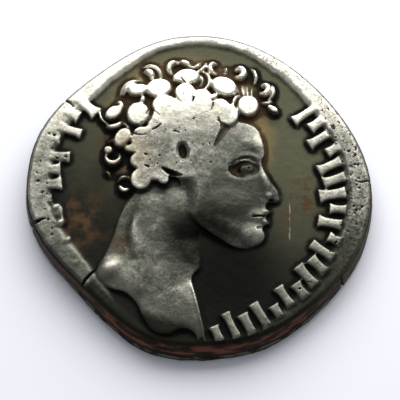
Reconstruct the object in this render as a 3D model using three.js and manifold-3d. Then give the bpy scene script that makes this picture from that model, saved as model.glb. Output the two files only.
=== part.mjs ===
// A worn Roman silver denarius, struck as one piece, lying on its reverse with the bust upwards.
// Millimetres. +Z is up, out of the obverse; +Y is towards the top of the bust's head; +X is the way it faces.
// The origin is in the middle of the coin, on the surface that it rests on.

import * as THREE from 'three';
import { mergeVertices } from 'three/addons/utils/BufferGeometryUtils.js';
import Module from 'manifold-3d';

const wasm = await Module();
wasm.setup();

// ---- Driving dimensions ----

const FLAN_RADIUS = 9.05;
const THICKNESS = 2.0; // from the worn high points of the reverse to those of the obverse
const REVERSE_FIELD = 0.3; // height of the sunk field on the underside
const OBVERSE_FIELD = 1.42; // height of the field round the bust
const WIDEST_AT = 0.5; // height of the widest line of the edge
const LEGEND_RISE = 0.26;
const SEGMENTS = 72; // round the edge

// Where the blank was hammered flatter: direction and half-width in degrees, depth in millimetres.
const HAMMERED_FLATS = [
  { toward: 42, spread: 50, depth: 0.64 },
  { toward: 95, spread: 60, depth: 0.34 },
  { toward: 132, spread: 36, depth: 0.5 },
  { toward: 222, spread: 40, depth: 0.78 },
  { toward: 274, spread: 26, depth: 0.1 },
  { toward: 313, spread: 30, depth: 0.2 },
];

// Splits in the edge, opened as the blank was struck.
const EDGE_SPLITS = [
  { toward: 145.5, length: 0.8, mouth: 0.26 },
  { toward: 192.5, length: 0.85, mouth: 0.4 },
  { toward: 2, length: 0.95, mouth: 0.14 },
  { toward: 326, length: 0.4, mouth: 0.3 },
];

const HAIR = { x: -0.35, y: 2.5, rx: 4.45, ry: 4.25 }; // the oval on which the outermost curls sit
const HAIR_PARTING = 66; // degrees; the locks turn away from here on both sides
const HAIR_MASS_RISE = 0.34; // of the bed of hair between the knobs of the curls
const CROWN_RISE = 0.6; // above the field; the worn plane takes the last of it off

const HAIRLINE = 4.0;
const CHIN = -3.25;
const FACE_THIRD = (HAIRLINE - CHIN) / 3; // hairline to brow, brow to nose, nose to chin
const BROW = HAIRLINE - FACE_THIRD;
const NOSE_BASE = BROW - FACE_THIRD;
const MOUTH = NOSE_BASE - FACE_THIRD / 3;
const FACE_FRONT = 3.3; // the upright line that forehead, lips and chin come near
const FACE_RISE = 0.5; // of the cheek, the highest part of the face

const LEGEND_CENTRE = { x: -0.43, y: -0.4 };
const LEGEND_RADIUS = 7.38; // to the middle of the strokes
const STROKE = { length: 1.45, width: 0.42, flare: 1.45, lean: 15, step: 6.3 }; // lean and step in degrees
const STROKE_LENGTHS = [1, 0.62, 0.9, 0.5, 1, 0.8]; // shares of the full length, in turn

// ---- Small tools ----

const radians = THREE.MathUtils.degToRad;

// A closed three.js geometry as a solid that can be joined and cut.
function solid(geometry) {
  const bare = geometry.clone();
  for (const name of ['normal', 'uv']) bare.deleteAttribute(name);
  const merged = mergeVertices(bare, 1e-4);
  return new wasm.Manifold(new wasm.Mesh({
    numProp: 3,
    vertProperties: new Float32Array(merged.attributes.position.array),
    triVerts: Uint32Array.from(merged.index.array),
  }));
}

function geometryOf(manifold) {
  const mesh = manifold.getMesh();
  const geometry = new THREE.BufferGeometry();
  geometry.setAttribute('position', new THREE.BufferAttribute(mesh.vertProperties, 3));
  geometry.setIndex(new THREE.BufferAttribute(mesh.triVerts, 1));
  return geometry;
}

const joined = (solids) => solids.reduce((sum, next) => sum.add(next));

const onArc = (centre, radius, degrees) => ({
  x: centre.x + radius * Math.cos(radians(degrees)),
  y: centre.y + radius * Math.sin(radians(degrees)),
});

// A squashed half ball on the floor. With a negative reach it hangs below the floor instead, as a cutter.
function dome({ x, y, rx, ry = rx, reach, turn = 0, floor = 0, detail = 12 }) {
  const rings = Math.max(3, Math.round(detail / 4));
  const skirt = reach > 0 ? 0.2 : 0.8; // how far its foot goes on past the floor
  const arc = Array.from({ length: rings + 1 }, (_, i) => {
    const angle = Math.PI / 2 * i / rings;
    return new THREE.Vector2(i === rings ? 0 : Math.cos(angle), Math.abs(reach) * Math.sin(angle));
  });
  const half = new THREE.LatheGeometry([new THREE.Vector2(0, -skirt), new THREE.Vector2(1, -skirt), ...arc], detail);
  half.rotateX(reach > 0 ? Math.PI / 2 : -Math.PI / 2);
  half.scale(rx, ry, 1);
  half.rotateZ(radians(turn));
  half.translate(x, y, floor);
  return solid(half);
}

// A flat outline raised off the floor, with its shoulder rounded off inside the outline.
// The shoulder is narrower than the outline's narrowest part.
function raised(shape, { rise, shoulder, rounding = 2, floor = 0, sunk = 0.2 }) {
  const drop = Math.min(shoulder, rise);
  const body = new THREE.ExtrudeGeometry(shape, {
    depth: rise + sunk - drop,
    bevelThickness: drop,
    bevelSize: shoulder,
    bevelOffset: -shoulder,
    bevelSegments: rounding,
  });
  body.translate(0, 0, floor - sunk);
  return solid(body);
}

// A smooth closed outline through the points, with `detail` steps from each to the next.
function outline(points, detail = 2) {
  const line = new THREE.CatmullRomCurve3(
    points.map(([x, y]) => new THREE.Vector3(x, y, 0)), true, 'centripetal');
  return new THREE.Shape(line.getPoints(points.length * detail).slice(0, -1));
}

// ---- The flan ----

function flanRadius(degrees) {
  return HAMMERED_FLATS.reduce((radius, flat) => {
    const away = Math.abs(((degrees - flat.toward + 540) % 360) - 180) / flat.spread;
    return away < 1 ? radius - flat.depth * Math.cos(away * Math.PI / 2) ** 2 : radius;
  }, FLAN_RADIUS);
}

// The side leans in towards the obverse, most at the foot of the bust.
const flank = (degrees) => 0.08 + 0.38 * Math.max(0, -Math.sin(radians(degrees))) ** 2;

// The rim left outside the die's border: broad at both sides, narrow above, none at the very foot.
// It is a low band where the die's edge never touched it.
const swell = (degrees, toward, spread) => Math.exp(-(((degrees - toward) / spread) ** 2));
const rimWidth = (degrees) => (
  0.64 + 0.44 * Math.cos(radians(2 * degrees)) + 0.14 * Math.sin(radians(degrees))
  + 0.4 * swell(degrees, 322, 24) + 0.24 * swell(degrees, 212, 20)
);
const RIM_RISE = 0.23;
const rimRise = (degrees) => (
  RIM_RISE * Math.min(1, 2 * rimWidth(degrees))
    * (1 - 0.6 * swell(degrees, 318, 26) - 0.7 * swell(degrees, 256, 30))
);

// Rings from the middle of the underside, round the edge, to the middle of the top.
const FLAN_RINGS = [
  { inset: () => 1.5, z: () => REVERSE_FIELD },
  { inset: () => 1.1, z: () => 0 },
  { inset: () => 0.36, z: () => 0 },
  { inset: () => 0.12, z: () => 0.16 },
  { inset: () => 0, z: () => WIDEST_AT },
  { inset: (a) => 0.5 * flank(a), z: () => 1.05 },
  { inset: (a) => flank(a), z: (a) => OBVERSE_FIELD + 0.6 * rimRise(a) - 0.1 },
  { inset: (a) => flank(a) + 0.18, z: (a) => OBVERSE_FIELD + rimRise(a) },
  { inset: (a) => flank(a) + 0.18 + 0.75 * rimWidth(a), z: (a) => OBVERSE_FIELD + 0.92 * rimRise(a) },
  { inset: (a) => flank(a) + 0.3 + rimWidth(a), z: () => OBVERSE_FIELD },
];

function flan() {
  const positions = [];
  for (const ring of FLAN_RINGS) {
    for (let i = 0; i < SEGMENTS; i += 1) {
      const degrees = 360 * i / SEGMENTS;
      const { x, y } = onArc({ x: 0, y: 0 }, flanRadius(degrees) - ring.inset(degrees), degrees);
      positions.push(x, y, ring.z(degrees));
    }
  }
  const bottom = positions.length / 3;
  positions.push(0, 0, REVERSE_FIELD, 0, 0, OBVERSE_FIELD);
  const top = bottom + 1;
  const faces = [];
  for (let i = 0; i < SEGMENTS; i += 1) {
    const next = (i + 1) % SEGMENTS;
    faces.push(bottom, next, i);
    for (let ring = 0; ring + 1 < FLAN_RINGS.length; ring += 1) {
      const low = ring * SEGMENTS;
      const high = low + SEGMENTS;
      faces.push(low + i, low + next, high + next, low + i, high + next, high + i);
    }
    const last = (FLAN_RINGS.length - 1) * SEGMENTS;
    faces.push(top, last + i, last + next);
  }
  const geometry = new THREE.BufferGeometry();
  geometry.setAttribute('position', new THREE.Float32BufferAttribute(positions, 3));
  geometry.setIndex(faces);
  return solid(geometry);
}

function edgeSplit({ toward, length, mouth }) {
  const radius = flanRadius(toward);
  const wedge = new THREE.Shape([
    new THREE.Vector2(radius - length, 0),
    new THREE.Vector2(radius + 0.2, -mouth / 2),
    new THREE.Vector2(radius + 0.2, mouth / 2),
  ]);
  const cut = new THREE.ExtrudeGeometry(wedge, { depth: THICKNESS + 1, bevelEnabled: false });
  cut.rotateZ(radians(toward));
  cut.translate(0, 0, -0.5);
  return solid(cut);
}

// What the dies struck off the flan's edge is lost.
function insideTheEdge(inset) {
  const points = Array.from({ length: SEGMENTS }, (_, i) => {
    const degrees = 360 * i / SEGMENTS;
    const { x, y } = onArc({ x: 0, y: 0 }, flanRadius(degrees) - flank(degrees) - inset, degrees);
    return new THREE.Vector2(x, y);
  });
  return solid(new THREE.ExtrudeGeometry(new THREE.Shape(points), { depth: 6, bevelEnabled: false })
    .translate(0, 0, -3));
}

// ---- Hair ----

// One lock, as a punch and a drill leave it: a round knob with an eye off its middle, open to one side.
function curl({ x, y, radius, opening, reach }) {
  const eye = onArc({ x, y }, radius * 0.42, opening);
  const knob = dome({ x, y, rx: radius, ry: radius * 0.86, reach, turn: opening, detail: 8 });
  const drill = dome({
    ...eye, rx: radius * 0.62, ry: radius * 0.4, reach: -0.3, turn: opening, floor: reach, detail: 6,
  });
  return knob.subtract(drill);
}

// Knobs side by side on the hair's oval, or on a smaller one inside it.
function curlRow({ share, from, to, count, radius, reach, drilled }) {
  return Array.from({ length: count }, (_, i) => {
    const degrees = from + (to - from) * i / (count - 1);
    const sway = Math.sin(i * 2.4); // no two locks alike
    const spot = {
      x: HAIR.x + (HAIR.rx * share + 0.1 * sway) * Math.cos(radians(degrees)),
      y: HAIR.y + (HAIR.ry * share + 0.1 * sway) * Math.sin(radians(degrees)),
    };
    const size = radius * (1 + 0.12 * sway);
    const opening = degrees + (degrees < HAIR_PARTING ? 90 : -90) + 20 * sway;
    return drilled
      ? curl({ ...spot, radius: size, opening, reach })
      : dome({ ...spot, rx: size, ry: size * 0.9, reach, turn: opening, detail: 8 });
  });
}

// The crown is rubbed flat, and its border is scalloped where the locks end.
function crown() {
  const border = [
    [3.0, 4.3], [2.1, 4.85], [1.1, 5.2], [0, 5.3], [-1.1, 5.05], [-2.0, 4.45], [-2.7, 3.55], [-3.05, 2.5],
    [-3.1, 1.4], [-3.1, 0.4], [-2.8, -0.4], [-2.0, -0.1], [-1.4, 0.9], [-0.4, 1.3], [0.5, 1.7], [1.1, 2.6],
    [1.9, 3.25], [2.6, 3.8],
  ];
  const scallops = border.flatMap(([x, y], i) => {
    const [nextX, nextY] = border[(i + 1) % border.length];
    const gap = Math.hypot(nextX - x, nextY - y);
    const bulge = 0.32 / gap; // outwards is to the right of the way round
    return [[x, y], [(x + nextX) / 2 + bulge * (nextY - y), (y + nextY) / 2 - bulge * (nextX - x)]];
  });
  return raised(outline(scallops, 2), { rise: CROWN_RISE, shoulder: 0.14, rounding: 1 });
}

function hair() {
  const mass = joined([
    dome({ x: -1.0, y: 2.75, rx: 3.95, ry: 4.15, reach: HAIR_MASS_RISE, detail: 20 }),
    crown(),
    ...curlRow({ share: 1, from: 24, to: 216, count: 13, radius: 0.48, reach: 0.46, drilled: true }),
    ...curlRow({ share: 0.79, from: 34, to: 205, count: 9, radius: 0.64, reach: 0.66, drilled: false }),
  ]);
  const floor = CROWN_RISE;
  const earHollow = dome({ x: -0.87, y: 1.85, rx: 0.2, ry: 0.37, reach: -0.4, turn: 8, floor, detail: 8 });
  const templeHollow = dome({ x: 1.25, y: 2.5, rx: 0.15, ry: 0.62, reach: -0.35, turn: -34, floor, detail: 8 });
  return { mass, hollows: [earHollow, templeHollow] };
}

// ---- Face: a calm young man's, laid out by thirds ----

function face() {
  const front = FACE_FRONT;
  const part = FACE_THIRD;
  const profile = outline([
    [front - 0.7, HAIRLINE + 0.5],
    [front - 0.22, HAIRLINE - 0.1 * part],
    [front - 0.02, HAIRLINE - 0.5 * part],
    [front + 0.1, BROW + 0.1 * part],
    [front - 0.06, BROW - 0.14 * part],
    [front + 0.3, BROW - 0.48 * part],
    [front + 0.86, NOSE_BASE + 0.17 * part],
    [front + 0.84, NOSE_BASE + 0.03 * part],
    [front + 0.2, NOSE_BASE - 0.02 * part],
    [front + 0.16, NOSE_BASE - 0.17 * part],
    [front + 0.36, NOSE_BASE - 0.27 * part],
    [front + 0.14, MOUTH],
    [front + 0.28, MOUTH - 0.1 * part],
    [front - 0.04, MOUTH - 0.25 * part],
    [front + 0.1, MOUTH - 0.45 * part],
    [front - 0.28, CHIN + 0.02 * part],
    [front - 1.0, CHIN - 0.05 * part],
    [front - 2.6, CHIN + 0.25 * part],
    [front - 3.9, CHIN + 0.75 * part],
    [front - 4.3, BROW - 0.6 * part],
    [front - 4.4, HAIRLINE],
  ]);
  const buried = 0.34;
  const rounded = dome({
    x: 0.6, y: 0.4, rx: 4.7, ry: 5.4, reach: FACE_RISE + buried, floor: -buried, detail: 20,
  });
  const slab = raised(profile, { rise: 0.7, shoulder: 0.1, rounding: 1 }).intersect(rounded);

  const eye = { x: front - 0.95, y: BROW - 0.26 * part };
  const modelling = joined([
    dome({ x: front - 1.5, y: BROW - 0.75 * part, rx: 1.1, ry: 0.8, reach: 0.52, detail: 12 }),
    dome({ x: front - 0.62, y: BROW + 0.1 * part, rx: 0.8, ry: 0.26, reach: 0.5, turn: -10, detail: 10 }),
    dome({ x: front + 0.3, y: NOSE_BASE + 0.12 * part, rx: 0.3, ry: 0.26, reach: 0.4, detail: 10 }),
    dome({ x: front - 0.6, y: MOUTH - 0.5 * part, rx: 0.75, ry: 0.55, reach: 0.3, detail: 10 }),
  ]);
  const socket = dome({ ...eye, rx: 0.72, ry: 0.44, reach: -0.3, turn: 6, floor: FACE_RISE, detail: 12 });
  const mouthLine = dome({ x: front + 0.1, y: MOUTH, rx: 0.62, ry: 0.07, reach: -0.2, floor: 0.34, detail: 8 });
  const nostril = dome({
    x: front + 0.42, y: NOSE_BASE + 0.04 * part, rx: 0.16, ry: 0.08, reach: -0.2, floor: 0.34, detail: 8,
  });
  const eyeball = dome({ x: eye.x + 0.08, y: eye.y - 0.02, rx: 0.33, ry: 0.3, reach: 0.42, detail: 10 });
  const lids = [1, -1].map((side) => (
    dome({ x: eye.x, y: eye.y + side * 0.3, rx: 0.5, ry: 0.09, reach: 0.45, turn: -side * 14, detail: 8 })
  ));
  return joined([slab, modelling])
    .subtract(joined([socket, mouthLine, nostril]))
    .add(joined([eyeball, ...lids]));
}

// ---- Neck and bare shoulders, cut off below in a curve ----

function bust() {
  const neck = outline([
    [0.9, -2.2], [0.55, -3.2], [-0.2, -4.1], [-0.5, -4.9], [-0.1, -6.4], [0.26, -7.6], [0.52, -8.7],
    [0.06, -8.6], [-0.25, -7.85], [-0.9, -7.65], [-1.6, -7.9], [-2.3, -7.7], [-2.85, -7.1], [-3.2, -6.3],
    [-3.75, -5.7], [-3.9, -4.6], [-3.75, -3.3], [-3.72, -2.3], [-3.45, -1.4], [-2.6, -0.2], [0.2, 0],
  ]);
  const shoulder = outline([
    [-3.2, -0.6], [-3.9, -1.1], [-4.5, -2.8], [-5.05, -3.8], [-5.4, -4.6], [-4.6, -5.4], [-3.8, -5.7],
    [-3.0, -5.6], [-2.6, -3.5],
  ]);
  const rounded = dome({ x: -1.9, y: -4.0, rx: 3.6, ry: 6.2, reach: 0.9, floor: -0.36, detail: 20 });
  return joined([
    raised(neck, { rise: 0.6, shoulder: 0.12, rounding: 1 }).intersect(rounded),
    raised(shoulder, { rise: 0.24, shoulder: 0.2 }),
    dome({ x: -4.5, y: -4.6, rx: 0.85, ry: 0.7, reach: 0.42, turn: 35, detail: 12 }),
    dome({ x: -3.1, y: -2.6, rx: 0.55, ry: 1.7, reach: 0.5, turn: 4, detail: 12 }),
  ]);
}

// ---- Legend: plain strokes in place of letters ----

function stroke({ x, y, turn, length, rise }) {
  const half = length / 2;
  const thin = STROKE.width / 2;
  const wide = thin * STROKE.flare;
  const waist = half * 0.5;
  const bar = new THREE.Shape([
    [-half, -wide], [-waist, -thin], [waist, -thin], [half, -wide],
    [half, wide], [waist, thin], [-waist, thin], [-half, wide],
  ].map(([along, across]) => new THREE.Vector2(along, across)));
  const body = new THREE.ExtrudeGeometry(bar, {
    depth: rise,
    bevelThickness: 0.12,
    bevelSize: 0.09,
    bevelOffset: -0.09,
    bevelSegments: 1,
  });
  body.translate(0, 0, -0.12);
  body.rotateZ(radians(turn));
  body.translate(x, y, 0);
  return solid(body);
}

// The strokes stand apart and lean together in slow waves. Towards the end of a row they are rubbed lower.
function strokeRow({ from, to, rubbed = 0, step = STROKE.step }) {
  const count = Math.round(Math.abs(to - from) / step) + 1;
  return Array.from({ length: count }, (_, i) => {
    const degrees = from + (to - from) * i / (count - 1);
    const length = STROKE.length * STROKE_LENGTHS[i % STROKE_LENGTHS.length];
    const slack = (STROKE.length - length) / 2; // short strokes stand on the inner and outer line by turns
    return stroke({
      ...onArc(LEGEND_CENTRE, LEGEND_RADIUS + (i % 2 ? slack : -slack), degrees),
      turn: degrees + STROKE.lean * Math.sin(i * 0.4),
      length,
      rise: LEGEND_RISE * (1 - rubbed * i / (count - 1)),
    });
  });
}

// ---- Reverse: a standing draped figure with a dish and a staff, between two rows of strokes ----

function reverseFigure() {
  const reach = REVERSE_FIELD + 0.12; // worn down to the resting plane
  const gown = outline([
    [-0.95, 1.7], [-1.15, 0.2], [-1.5, -2.5], [-1.75, -4.9], [0, -5.1], [1.7, -4.9],
    [1.4, -2.5], [1.15, 0.2], [0.95, 1.7], [0, 1.9],
  ], 1);
  const folds = Array.from({ length: 4 }, (_, i) => {
    const side = i - 1.5;
    return dome({ x: side * 0.62, y: -2.0, rx: 0.2, ry: 2.7, reach, turn: side * 5, detail: 8 });
  });
  const limb = (from, to, thick) => {
    const [dx, dy] = [to[0] - from[0], to[1] - from[1]];
    return dome({
      x: (from[0] + to[0]) / 2,
      y: (from[1] + to[1]) / 2,
      rx: Math.hypot(dx, dy) / 2 + thick,
      ry: thick,
      reach: reach * 0.95,
      turn: THREE.MathUtils.radToDeg(Math.atan2(dy, dx)),
      detail: 8,
    });
  };
  return joined([
    raised(gown, { rise: reach * 0.62, shoulder: 0.16, rounding: 1 }),
    ...folds,
    dome({ x: 0, y: 2.5, rx: 1.1, ry: 1.4, reach, detail: 10 }),
    dome({ x: 0.08, y: 4.7, rx: 0.62, ry: 0.74, reach, detail: 10 }),
    dome({ x: -0.5, y: 4.8, rx: 0.34, ry: 0.36, reach: reach * 0.8, detail: 6 }),
    limb([0.8, 3.3], [1.7, 2.1], 0.36),
    limb([1.6, 2.1], [2.9, 2.6], 0.3),
    dome({ x: 3.3, y: 2.8, rx: 0.62, ry: 0.34, reach: reach * 0.9, detail: 8 }),
    limb([-0.8, 3.3], [-1.7, 2.2], 0.36),
    limb([-1.6, 2.2], [-2.5, 3.0], 0.3),
    limb([-1.5, 2.2], [-2.0, -2.4], 0.34),
    limb([-2.6, -5.2], [-2.6, 5.7], 0.2),
    limb([-3.6, -5.4], [3.6, -5.4], 0.18),
  ]);
}

// ---- The coin ----

const WORN = solid(new THREE.BoxGeometry(3 * FLAN_RADIUS, 3 * FLAN_RADIUS, THICKNESS)
  .translate(0, 0, THICKNESS / 2));

function obverse() {
  const { mass, hollows } = hair();
  const head = joined([mass, face(), bust()]).subtract(joined(hollows));
  const rows = [...strokeRow({ from: 138, to: 236, rubbed: 0.6 }), ...strokeRow({ from: 37, to: -80 })];
  return joined([head, ...rows])
    .intersect(insideTheEdge(0.16))
    .translate([0, 0, OBVERSE_FIELD]);
}

function reverse() {
  const rows = [...strokeRow({ from: 30, to: -50, step: 11 }), ...strokeRow({ from: 150, to: 230, step: 11 })];
  return joined([reverseFigure(), ...rows])
    .rotate([180, 0, 0])
    .intersect(insideTheEdge(0.4))
    .translate([0, 0, REVERSE_FIELD]);
}

const struck = joined([flan(), obverse(), reverse()])
  .intersect(WORN)
  .subtract(joined(EDGE_SPLITS.map(edgeSplit)));
const { min, max } = struck.boundingBox();
const centred = struck.translate([-(min[0] + max[0]) / 2, -(min[1] + max[1]) / 2, 0]);

const silver = new THREE.MeshStandardMaterial({
  name: 'toned_silver',
  color: new THREE.Color(0.47, 0.45, 0.39),
  roughness: 0.42,
  metalness: 0.9,
});

const denarius = new THREE.Group();
const coin = new THREE.Mesh(geometryOf(centred), silver);
coin.name = 'coin';
denarius.add(coin);

export default denarius;
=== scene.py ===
import math
import random

import bpy
import numpy as np
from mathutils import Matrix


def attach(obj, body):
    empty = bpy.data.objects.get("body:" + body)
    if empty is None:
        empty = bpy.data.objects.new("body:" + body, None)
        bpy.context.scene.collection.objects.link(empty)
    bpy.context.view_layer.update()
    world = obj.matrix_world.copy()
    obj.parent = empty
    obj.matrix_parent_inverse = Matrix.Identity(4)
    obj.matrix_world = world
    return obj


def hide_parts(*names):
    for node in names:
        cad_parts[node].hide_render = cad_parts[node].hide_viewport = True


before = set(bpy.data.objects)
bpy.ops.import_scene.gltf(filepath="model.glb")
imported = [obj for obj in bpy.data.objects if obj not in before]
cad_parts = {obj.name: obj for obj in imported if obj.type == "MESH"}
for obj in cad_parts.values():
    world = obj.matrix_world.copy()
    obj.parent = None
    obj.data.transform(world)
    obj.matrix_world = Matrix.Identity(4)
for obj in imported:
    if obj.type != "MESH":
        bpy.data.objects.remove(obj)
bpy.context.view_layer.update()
bpy.ops.object.select_all(action="DESELECT")

# ---- Camera ----
# A long lens looks down on the lying coin from the foot of the bust, twenty degrees off the upright.

MM = 0.001
ELEVATION = math.radians(70)
CAMERA_DISTANCE = 125 * MM
VIEW_WIDTH = 20.69 * MM  # what the picture takes in at the coin's face
LOOK_AT = (0.044 * MM, -0.566 * MM, 1.6 * MM)

bpy.ops.object.camera_add(
    location=(
        LOOK_AT[0],
        LOOK_AT[1] - CAMERA_DISTANCE * math.cos(ELEVATION),
        LOOK_AT[2] + CAMERA_DISTANCE * math.sin(ELEVATION),
    ),
    rotation=(math.pi / 2 - ELEVATION, 0, 0),
)
camera = bpy.context.object
camera.data.lens = camera.data.sensor_width * CAMERA_DISTANCE / VIEW_WIDTH
camera.data.clip_start = 1 * MM
camera.data.clip_end = 3.0
bpy.context.scene.camera = camera

# ---- The blank ----
# A lens-shaped disc of cast silver, hammered flatter in places, then squeezed between the dies.
# It is shaped here in millimetres, with its middle at the origin and its underside at nought.

FLAN_RADIUS = 9.05
THICKNESS = 2.0
REVERSE_FIELD = 0.3
OBVERSE_FIELD = 1.42
HAMMERED_FLATS = [
    (42, 50, 0.64), (95, 60, 0.34), (132, 36, 0.5), (222, 40, 0.78), (274, 26, 0.1), (313, 30, 0.2),
]
ROUND = 360


def flan_radius(degrees):
    """The outline, a circle with a soft flat at each hammered place."""
    radius = FLAN_RADIUS
    for toward, spread, depth in HAMMERED_FLATS:
        away = abs((degrees - toward + 540) % 360 - 180) / spread
        if away < 1:
            radius -= depth * math.cos(away * math.pi / 2) ** 2
    return radius


def flank(degrees):
    """How far the side leans in at its top, most at the foot of the coin."""
    return 0.08 + 0.38 * max(0.0, -math.sin(math.radians(degrees))) ** 2


def swell(degrees, toward, spread):
    """A smooth rise to one, about one direction."""
    return math.exp(-(((degrees - toward) / spread) ** 2))


def rim_width(degrees):
    """Broad to the west and east where the die ran off centre, and none at the foot."""
    turn = math.radians(degrees)
    wide = 0.4 * swell(degrees, 322, 24) + 0.24 * swell(degrees, 212, 20)
    return 0.64 + 0.44 * math.cos(2 * turn) + 0.14 * math.sin(turn) + wide


def rim_rise(degrees):
    """The rim's height over the field, less to the lower right and at the foot."""
    low = 0.6 * swell(degrees, 318, 26) + 0.7 * swell(degrees, 256, 30)
    return 0.23 * min(1.0, 2 * rim_width(degrees)) * (1 - low)


def ragged(degrees, step, reach):
    """A small wave of its own at every angle, as torn metal has."""
    turn = math.radians(degrees)
    wave = math.sin(step * turn)
    wave += 0.6 * math.sin(2.3 * step * turn + 1)
    wave += 0.4 * math.sin(5.1 * step * turn + 2)
    return reach * wave / 2


def blank_ring(ring, a):
    """How far in from the edge a ring lies, and how high, at the angle a."""
    top = flank(a)
    lip = 0.05 * max(0.0, -math.sin(math.radians(a)))
    return [
        (1.6, REVERSE_FIELD),
        (1.2, 0.12),
        (0.95, 0.0),
        (0.36, 0.0),
        (0.14 + ragged(a, 11, 0.02), 0.12),
        (0.02 - lip + ragged(a, 17, 0.03), 0.3),
        (0.0 + ragged(a, 9, 0.02), 0.5),
        (0.3 * top + lip + ragged(a, 7, 0.03), 0.75),
        (0.55 * top, 1.0),
        (top, OBVERSE_FIELD + 0.6 * rim_rise(a) - 0.12),
        (top + 0.16, OBVERSE_FIELD + rim_rise(a)),
        (top + 0.16 + 0.78 * rim_width(a) + ragged(a, 19, 0.06), OBVERSE_FIELD + 0.95 * rim_rise(a)),
        (top + 0.3 + rim_width(a) + ragged(a, 13, 0.07), OBVERSE_FIELD),
    ][ring]


BLANK_RINGS = 13

bpy.ops.mesh.primitive_circle_add(vertices=ROUND, radius=1.0, fill_type="NGON")
blank = bpy.context.object
blank.name = "struck_coin"
bpy.ops.object.mode_set(mode="EDIT")
for ring in range(1, BLANK_RINGS):
    bpy.ops.mesh.extrude_region_move(TRANSFORM_OT_translate={"value": (0, 0, 1)})
bpy.ops.mesh.select_all(action="SELECT")
bpy.ops.mesh.normals_make_consistent(inside=False)
bpy.ops.object.mode_set(mode="OBJECT")
for vertex in blank.data.vertices:
    turn = math.atan2(vertex.co.y, vertex.co.x)
    degrees = math.degrees(turn) % 360
    inset, z = blank_ring(round(vertex.co.z), degrees)
    radius = flan_radius(degrees) - inset
    vertex.co = (radius * math.cos(turn), radius * math.sin(turn), z)

# ---- Hair ----
# Short curls in rows. Each was punched and drilled into the die, so it stands up as a knob or a snail
# with a deep eye. The crown between them is rubbed flat.


def lump(x, y, rx, ry, reach, turn=0.0, floor=OBVERSE_FIELD):
    """A rounded form, half sunk in the field. With a floor above it, the same form serves as a cutter."""
    bpy.ops.mesh.primitive_uv_sphere_add(
        segments=28, ring_count=16, radius=1.0, location=(x, y, floor), rotation=(0, 0, math.radians(turn))
    )
    form = bpy.context.object
    form.scale = (rx, ry, reach)
    return form


def strand(points, width, height, floor=OBVERSE_FIELD):
    """A line, round in section. Each point is x, y and its share of the full width."""
    bpy.ops.curve.primitive_nurbs_path_add(location=(0, 0, floor))
    line = bpy.context.object
    line.data.splines.clear()
    spline = line.data.splines.new("NURBS")
    spline.points.add(len(points) - 1)
    spline.order_u = 3
    spline.use_endpoint_u = True
    for knot, (x, y, share) in zip(spline.points, points):
        knot.co = (x, y, 0, 1)
        knot.radius = share
    line.data.bevel_depth = width / 2
    line.data.bevel_resolution = 3
    line.data.use_fill_caps = True
    line.data.resolution_u = 6
    line.scale.z = height / (width / 2)
    bpy.ops.object.convert(target="MESH")
    return bpy.context.object


def lock(x, y, radius, start, stop, width, height):
    """A curved lock: an arc round the point x, y, thick in its middle and thin at both ends."""
    points = []
    for i in range(9):
        turn = math.radians(start + (stop - start) * i / 8)
        thick = 0.4 + 0.6 * math.sin(math.pi * i / 8) ** 0.7
        points.append((x + radius * math.cos(turn), y + radius * math.sin(turn), thick))
    return strand(points, width, height)


FLAT_TOPPED = 1.5  # a lump this high is rubbed down to a disc with steep sides
PILLOW = 0.95  # and one this high to a smaller disc with round shoulders

# The crown, a cluster of lobes with a scalloped border, on the low mass that all the curls stand on.
relief = [
    lump(-0.75, 2.9, 4.2, 4.4, 0.2),
    lump(-0.9, 2.9, 1.9, 2.1, FLAT_TOPPED),
    lump(-2.2, 1.5, 1.2, 1.3, FLAT_TOPPED),
    lump(-0.7, 1.6, 1.5, 1.3, FLAT_TOPPED),
    lump(0.1, 3.7, 1.15, 1.2, FLAT_TOPPED),
]
CROWN_LOBES = [
    (-0.75, 5.2, 0.54, 0.5), (0.12, 4.9, 0.52, 0.48), (1.08, 4.33, 0.52, 0.5), (1.45, 3.92, 0.6, 0.62),
    (0.6, 3.0, 0.54, 0.56), (0.25, 2.3, 0.5, 0.6), (-1.8, 4.5, 0.68, 0.52), (-1.95, 3.85, 0.5, 0.6),
    (-2.32, 3.3, 0.4, 0.4), (-2.9, 2.95, 0.52, 0.3), (-3.15, 2.5, 0.42, 0.42), (-3.42, 2.05, 0.5, 0.22),
    (-3.15, 1.38, 0.46, 0.42), (-3.02, 0.36, 0.54, 0.58), (-2.5, 0.75, 0.5, 0.46), (-1.85, 0.33, 0.27, 0.27),
]
for x, y, rx, ry in CROWN_LOBES:
    relief.append(lump(x, y, 1.1 * rx, 1.1 * ry, 1.1))

# Drop-shaped curls with round shoulders.
KNOBS = [
    (1.3, 5.56, 0.7, 0.5, -25), (2.54, 4.46, 0.55, 0.57, 0), (-0.62, 6.12, 0.62, 0.42, 0),
    (-1.12, 6.04, 0.28, 0.24, 20), (-2.12, 5.46, 0.66, 0.52, 8), (-3.2, 3.99, 0.6, 0.65, 0),
    (-4.0, 2.67, 0.4, 0.57, -32), (-3.2, 5.36, 0.52, 0.3, 12), (-4.48, 4.08, 0.46, 0.31, 32),
    (0.78, 4.98, 0.22, 0.13, 35), (3.84, 4.28, 0.32, 0.13, -32), (-4.74, 1.97, 0.22, 0.2, 0),
]
for x, y, rx, ry, turn in KNOBS:
    relief.append(lump(x, y, 1.12 * rx, 1.12 * ry, PILLOW, turn))

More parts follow.
